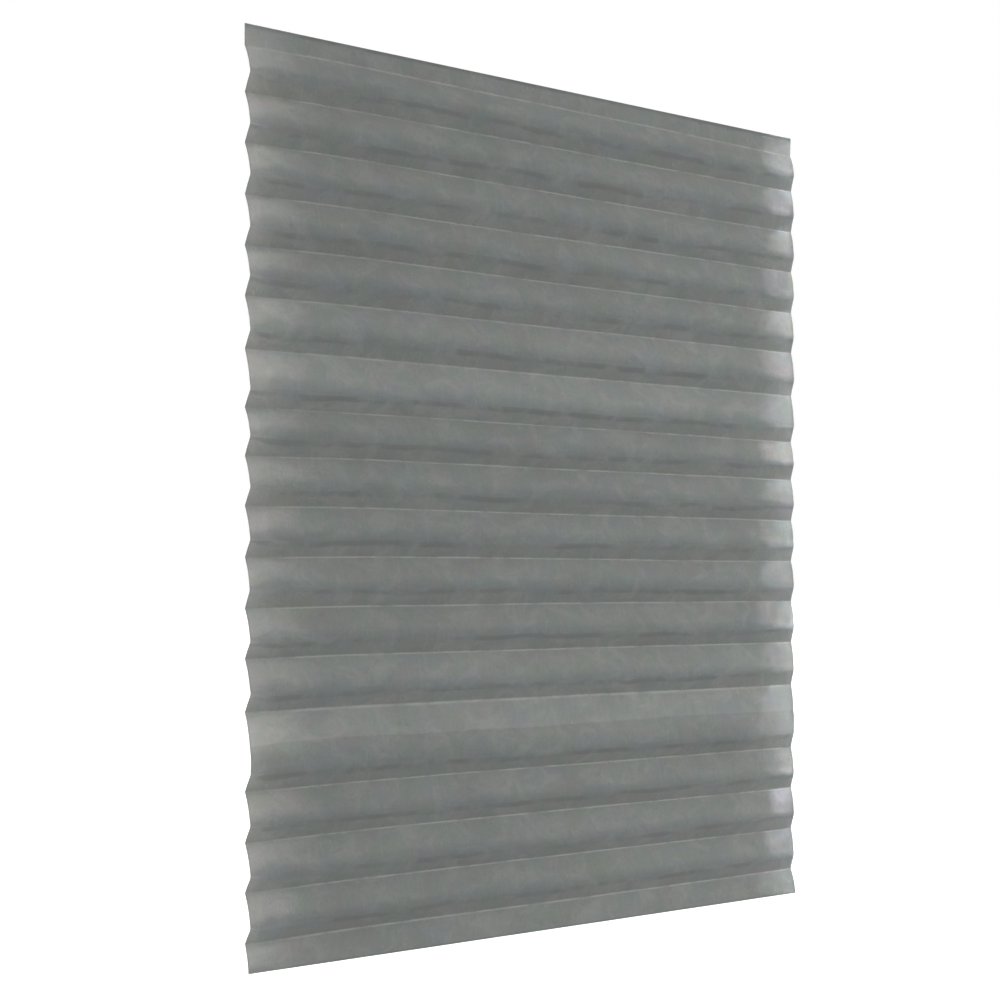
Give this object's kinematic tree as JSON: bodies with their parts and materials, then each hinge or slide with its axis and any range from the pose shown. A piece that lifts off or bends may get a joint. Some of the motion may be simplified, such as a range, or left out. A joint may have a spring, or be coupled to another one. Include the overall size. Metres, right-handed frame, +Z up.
{
  "type": "pleated blind",
  "caption": "Wide pleated window blind of folded non-woven fabric, hanging fully let down from an adhesive strip along its top edge.",
  "frame": {"origin": "centre of the adhesive strip's sticky back face, which lies on the wall or window frame", "axes": "+Z up, +Y out of the back into the wall, so the front of the blind faces -Y; X across the width"},
  "size_m": [1.2, 0.022, 1.5],
  "materials": {
    "nonwoven_fabric": "matt grey non-woven with fine cloudy fibres and slightly whitened pressed creases",
    "foam_tape": "off-white double-sided foam tape with a tacky back"
  },
  "bodies": {
    "root": {"pleated_sheet": "nonwoven_fabric", "adhesive_strip": "foam_tape"}
  },
  "joints": []
}
